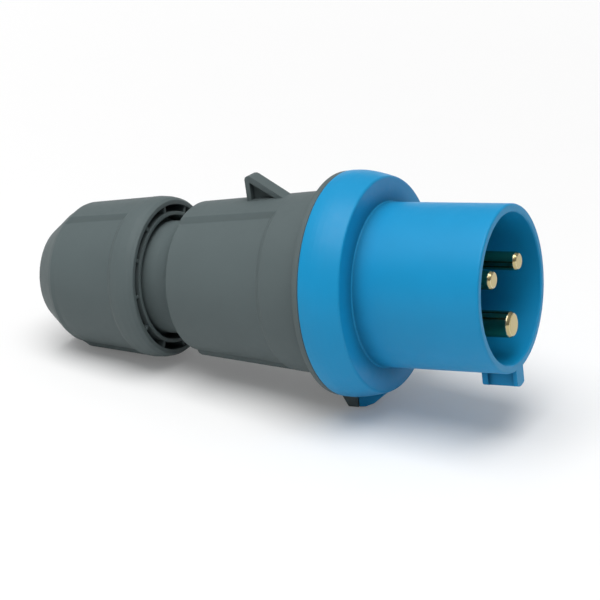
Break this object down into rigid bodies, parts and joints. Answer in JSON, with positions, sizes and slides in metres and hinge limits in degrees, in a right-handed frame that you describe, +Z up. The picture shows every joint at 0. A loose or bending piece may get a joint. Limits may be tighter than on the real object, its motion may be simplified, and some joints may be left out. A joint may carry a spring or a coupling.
{
  "type": "pin and sleeve plug",
  "caption": "Straight pin and sleeve plug: keyed sleeve around contact pins, wide flange, tapered grip with a catch on top, and a screwed cable gland at the rear.",
  "frame": {"origin": "middle of the plug's box on the floor it lies on", "axes": "+X from the cable end towards the sleeve, with the sleeve tipped up by the lug under the flange; +Y across; +Z up, with the catch on top"},
  "size_m": [0.145, 0.061, 0.0644],
  "materials": {
    "front_plastic": "satin moulded blue",
    "grip_plastic": "fine-textured grey",
    "carrier_plastic": "plain dark moulding",
    "pin_brass": "turned",
    "seal_rubber": "matte",
    "steel": "zinc plated"
  },
  "bodies": {
    "grip": {"housing": "grip_plastic", "clamp_cage": "carrier_plastic", "cable_seal": "seal_rubber"},
    "front": {"shroud": "front_plastic", "contact_carrier": "carrier_plastic", "earth_pin": "pin_brass", "line_pin": "pin_brass", "neutral_pin": "pin_brass", "wire_guards": "steel", "terminal_screws": "steel", "carrier_screws": "steel", "front_gasket": "seal_rubber"},
    "thrust": {"slip_ring": "carrier_plastic"},
    "nut": {"gland_nut": "grip_plastic"}
  },
  "joints": [
    {"name": "front_twist", "type": "hinge", "parent": "grip", "child": "front", "pos_m": [0.01898, 0, 0.03316], "axis": [0.9877, 0, 0.1562], "range_deg": [0, 25]},
    {"name": "gland_advance", "type": "slide", "parent": "grip", "child": "thrust", "axis": [0.9877, 0, 0.1562], "range_m": [-0.0045, 0.0045]},
    {"name": "gland_turn", "type": "hinge", "parent": "thrust", "child": "nut", "pos_m": [-0.05016, 0, 0.02223], "axis": [0.9877, 0, 0.1562], "range_deg": [-541, 541]}
  ],
  "couplings": [
    {"joint": "gland_turn", "follows": "gland_advance", "rad_per_m": 2094.4}
  ]
}
